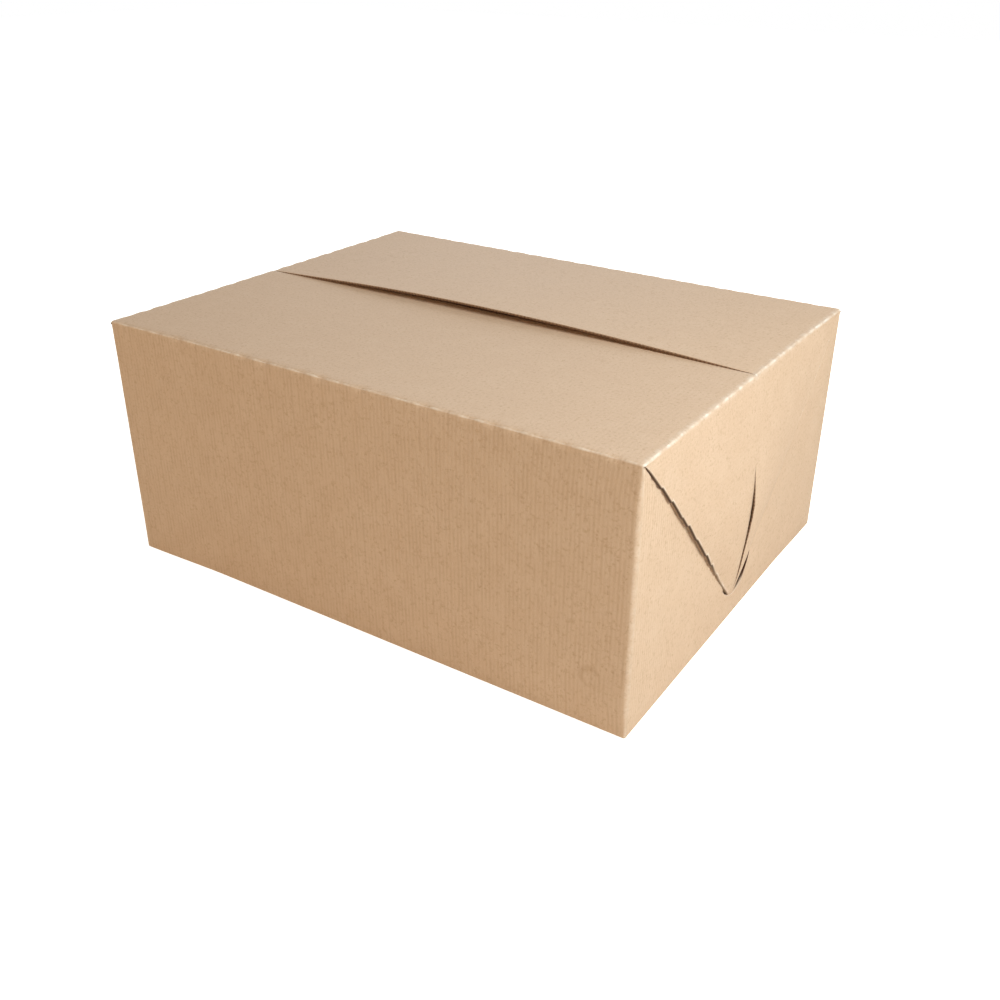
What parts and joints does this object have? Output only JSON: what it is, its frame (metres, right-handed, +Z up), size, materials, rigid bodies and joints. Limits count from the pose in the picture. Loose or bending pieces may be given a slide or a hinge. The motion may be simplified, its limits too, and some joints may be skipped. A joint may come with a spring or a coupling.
{
  "type": "closed cardboard box",
  "caption": "Closed kraft box folded from one sheet of thin corrugated board, with overlapping top flaps and triangular end ears tucked into slots.",
  "frame": {"origin": "middle of the bottom, on the surface that the box stands on", "axes": "+X along the front wall to the right, +Y from the front wall to the back wall, +Z up"},
  "size_m": [0.4704, 0.35, 0.2074],
  "materials": {
    "kraft_board": "matt natural kraft liner with fine flutes showing through"
  },
  "bodies": {
    "root": {"folded_box": "kraft_board"}
  },
  "joints": []
}
